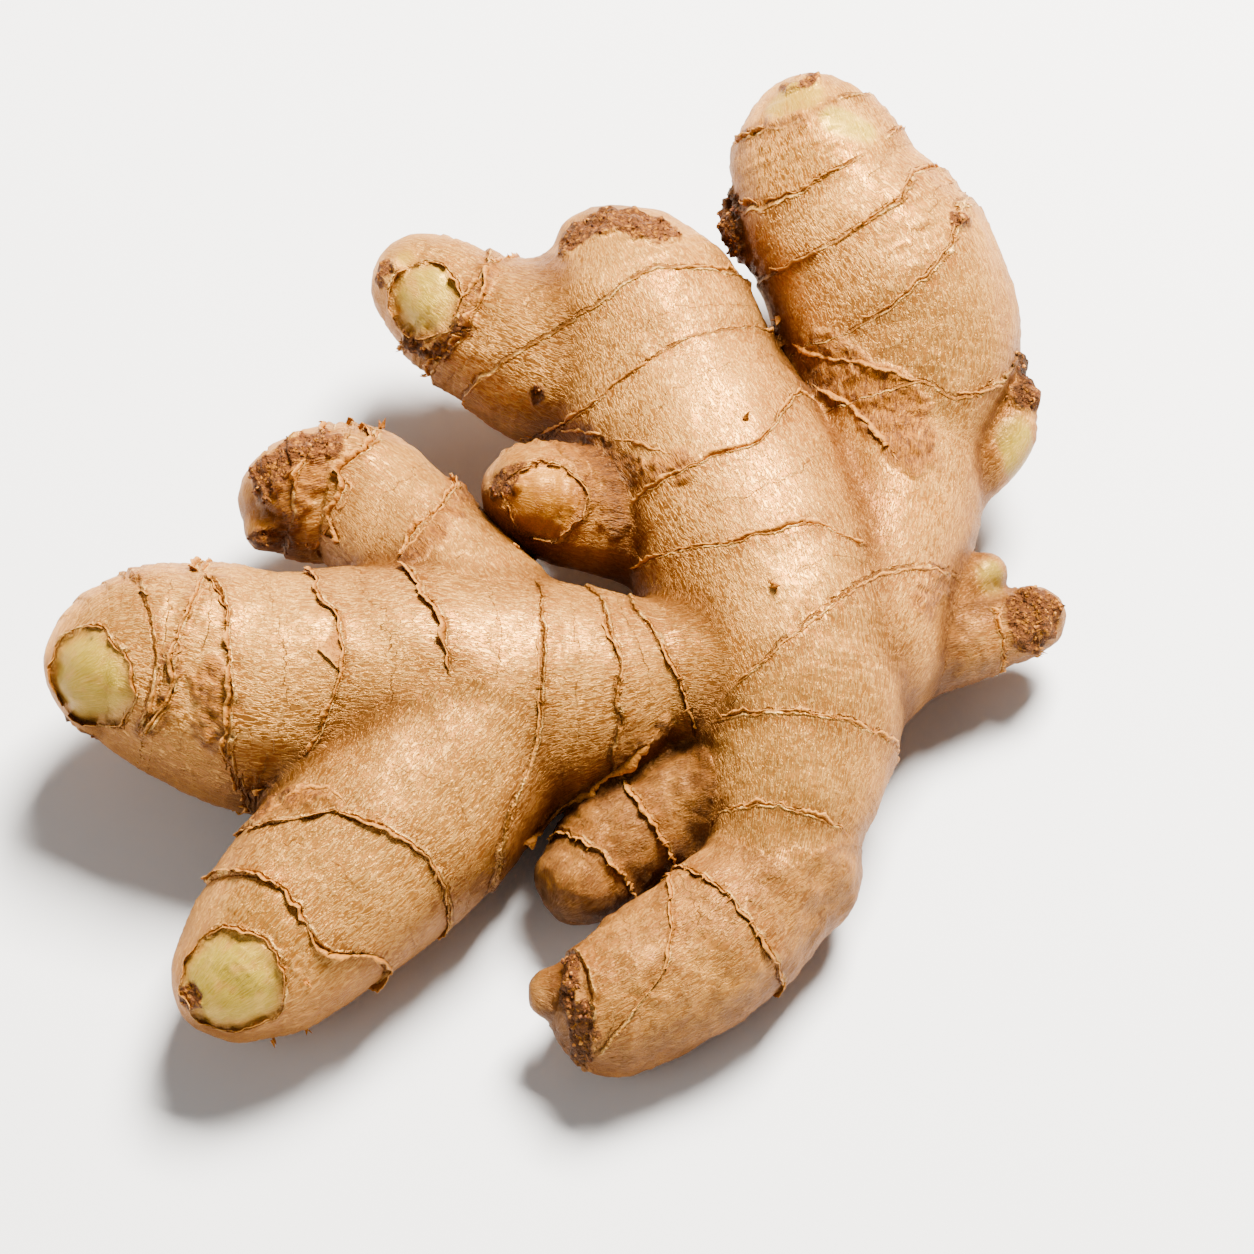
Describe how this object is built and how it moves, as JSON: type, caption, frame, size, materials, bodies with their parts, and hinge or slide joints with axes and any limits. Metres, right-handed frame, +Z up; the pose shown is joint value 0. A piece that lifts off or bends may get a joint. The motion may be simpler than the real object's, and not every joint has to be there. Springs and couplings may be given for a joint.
{
  "type": "ginger root",
  "caption": "Whole fresh ginger rhizome lying flat: a thick knobbly stem with stubby ringed fingers and smaller buds growing from it.",
  "frame": {"origin": "on the surface that the root lies on, under the middle of its outline", "axes": "+Z up out of the surface, +X to the viewer's right as it lies in the reference view, +Y away from the viewer, towards the tall finger's tip"},
  "size_m": [0.1414, 0.1486, 0.0432],
  "materials": {
    "skin": "satin thin skin over firm flesh; wood stands in for fresh root"
  },
  "bodies": {
    "root": {"ginger_root": "skin"}
  },
  "joints": []
}
